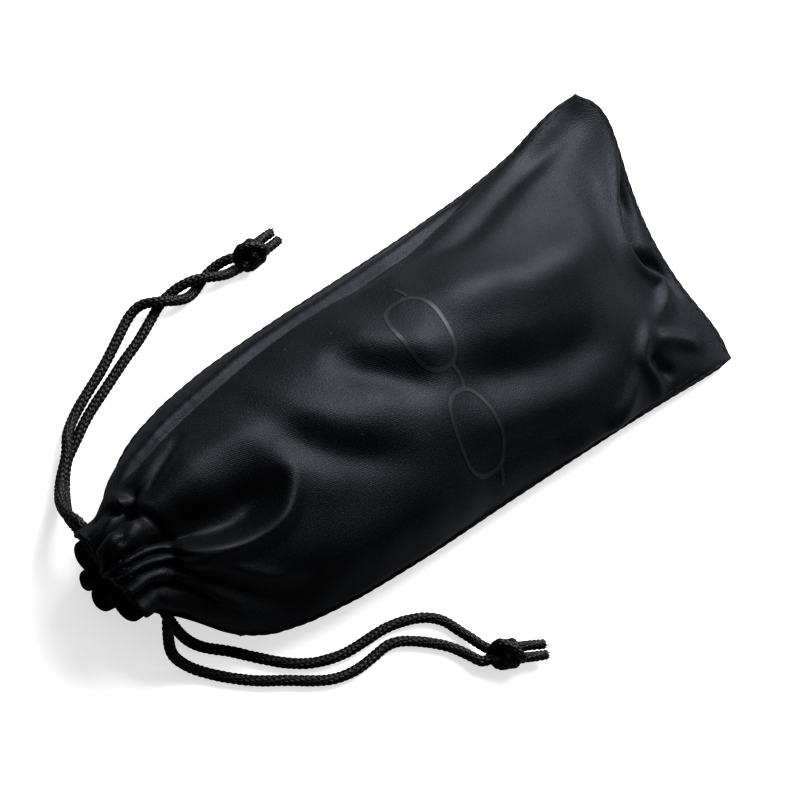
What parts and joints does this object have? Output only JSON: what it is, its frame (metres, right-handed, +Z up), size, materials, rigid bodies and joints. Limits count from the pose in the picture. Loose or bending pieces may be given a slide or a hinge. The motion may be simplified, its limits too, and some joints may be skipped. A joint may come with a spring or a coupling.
{
  "type": "drawstring glasses pouch",
  "caption": "Soft black drawstring pouch for glasses, filled, lying on its back with its mouth pulled shut and its knotted drawstrings trailing on either side.",
  "frame": {"origin": "on the surface that the pouch lies on, under the centre of the cloth's bounding box", "axes": "+X from the gathered mouth to the closed end, +Y towards the pouch's left side, +Z up out of the front panel"},
  "size_m": [0.1955, 0.1347, 0.034],
  "materials": {
    "cloth": "black brushed microfibre satin with a fine twill, soft sheen",
    "cord": "black round braided polyester cord, slightly glossy",
    "thread": "black polyester sewing thread"
  },
  "bodies": {
    "pouch": {"front_panel": "cloth", "back_panel": "cloth", "front_channel_hem": "cloth", "back_channel_hem": "cloth", "left_seam_edge": "thread", "right_seam_edge": "thread", "closed_end_seam_edge": "thread", "left_seam_thread": "thread", "right_seam_thread": "thread", "closed_end_thread": "thread", "front_channel_thread": "thread", "back_channel_thread": "thread", "left_slit_bartack": "thread", "right_slit_bartack": "thread", "left_drawstring_channel_run": "cord", "right_drawstring_channel_run": "cord"},
    "left_drawstring": {"left_drawstring_strand_1": "cord", "left_drawstring_strand_2": "cord", "left_drawstring_knot": "cord", "left_drawstring_cut_end_1": "cord", "left_drawstring_cut_end_2": "cord"},
    "right_drawstring": {"right_drawstring_strand_1": "cord", "right_drawstring_strand_2": "cord", "right_drawstring_knot": "cord", "right_drawstring_cut_end_1": "cord", "right_drawstring_cut_end_2": "cord"}
  },
  "joints": [
    {"name": "left_drawstring_pull", "type": "slide", "parent": "pouch", "child": "left_drawstring", "axis": [0, 1, 0], "range_m": [0, 0.006]},
    {"name": "right_drawstring_pull", "type": "slide", "parent": "pouch", "child": "right_drawstring", "axis": [0, -1, 0], "range_m": [0, 0.006]}
  ]
}
